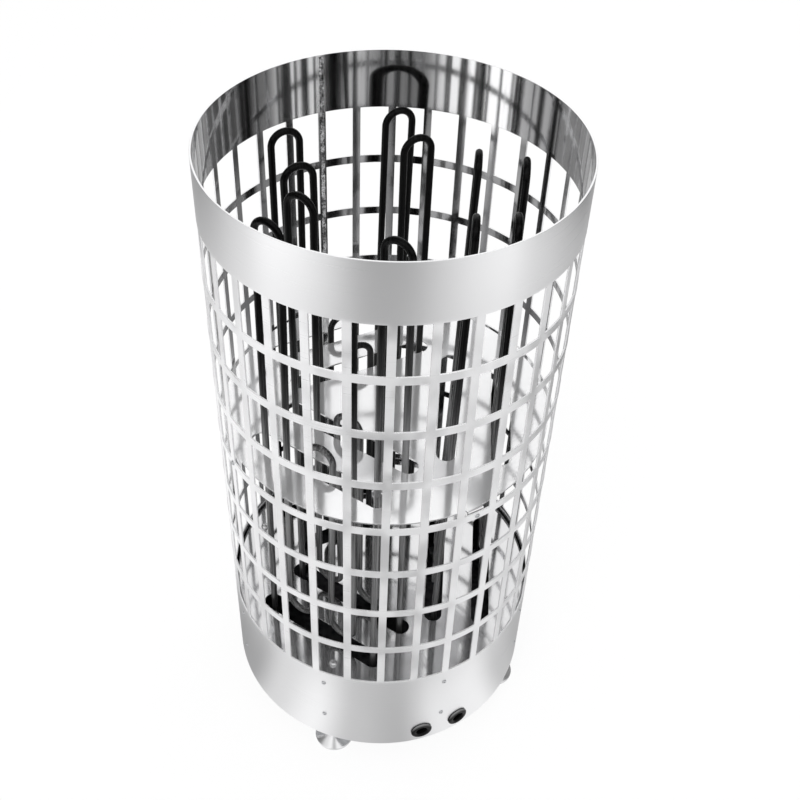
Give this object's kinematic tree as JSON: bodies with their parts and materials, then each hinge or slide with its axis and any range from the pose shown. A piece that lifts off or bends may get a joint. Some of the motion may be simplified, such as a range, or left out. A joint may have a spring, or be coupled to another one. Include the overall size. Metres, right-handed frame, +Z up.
{
  "type": "electric sauna heater",
  "caption": "Free-standing round electric sauna heater: a tall pierced steel stone cage with bent tubular heating elements between slotted plates, on levelling feet.",
  "frame": {"origin": "on the floor under the feet, on the cage's axis", "axes": "+Z up along the cage's axis, -Y toward the two cable grommets, +X to the right of them"},
  "size_m": [0.3986, 0.4028, 0.825],
  "materials": {
    "satin_steel": "satin stainless sheet with bright cut edges",
    "polished_steel": "polished stainless steel",
    "zinc_steel": "dull zinc-plated steel",
    "black_tube": "matt black oxidised tube",
    "black_rubber": "matt moulded rubber",
    "brass": "plain turned brass",
    "terminal_block": "matt heat-resistant moulding",
    "silicone_lead": "matt silicone sheath"
  },
  "bodies": {
    "heater": {"cage_stave_01": "satin_steel", "cage_stave_02": "satin_steel", "cage_stave_03": "satin_steel", "cage_stave_04": "satin_steel", "cage_stave_05": "satin_steel", "cage_stave_06": "satin_steel", "cage_stave_07": "satin_steel", "cage_stave_08": "satin_steel", "cage_stave_09": "satin_steel", "cage_stave_10": "satin_steel", "cage_stave_11": "satin_steel", "cage_stave_12": "satin_steel", "cage_stave_13": "satin_steel", "cage_stave_14": "satin_steel", "cage_stave_15": "satin_steel", "mid_plate": "polished_steel", "base_plate": "polished_steel", "element_carrier": "zinc_steel", "bottom_cover": "zinc_steel", "element_left_inner": "black_tube", "element_left_outer": "black_tube", "strap_left_a": "brass", "lead_left_a": "silicone_lead", "strap_left_b": "brass", "lead_left_b": "silicone_lead", "element_right_inner": "black_tube", "element_right_outer": "black_tube", "strap_right_a": "brass", "lead_right_a": "silicone_lead", "strap_right_b": "brass", "lead_right_b": "silicone_lead", "element_rear_inner": "black_tube", "element_rear_outer": "black_tube", "strap_rear_a": "brass", "lead_rear_a": "silicone_lead", "strap_rear_b": "brass", "lead_rear_b": "silicone_lead", "terminal_block": "terminal_block", "earth_stud": "brass", "grommet_left": "black_rubber", "grommet_right": "black_rubber", "foot_nut_front_right": "zinc_steel", "foot_sleeve_front_right": "zinc_steel", "base_bolt_front_right": "polished_steel", "foot_nut_rear_right": "zinc_steel", "foot_sleeve_rear_right": "zinc_steel", "base_bolt_rear_right": "polished_steel", "foot_nut_rear_left": "zinc_steel", "foot_sleeve_rear_left": "zinc_steel", "base_bolt_rear_left": "polished_steel", "foot_nut_front_left": "zinc_steel", "foot_sleeve_front_left": "zinc_steel", "base_bolt_front_left": "polished_steel"},
    "front_right_foot": {"foot_front_right": "polished_steel"},
    "rear_right_foot": {"foot_rear_right": "polished_steel"},
    "rear_left_foot": {"foot_rear_left": "polished_steel"},
    "front_left_foot": {"foot_front_left": "polished_steel"}
  },
  "joints": [
    {"name": "front_right_foot_screw", "type": "slide", "parent": "heater", "child": "front_right_foot", "axis": [0, 0, -1], "range_m": [0, 0.015]},
    {"name": "rear_right_foot_screw", "type": "slide", "parent": "heater", "child": "rear_right_foot", "axis": [0, 0, -1], "range_m": [0, 0.015]},
    {"name": "rear_left_foot_screw", "type": "slide", "parent": "heater", "child": "rear_left_foot", "axis": [0, 0, -1], "range_m": [0, 0.015]},
    {"name": "front_left_foot_screw", "type": "slide", "parent": "heater", "child": "front_left_foot", "axis": [0, 0, -1], "range_m": [0, 0.015]}
  ]
}
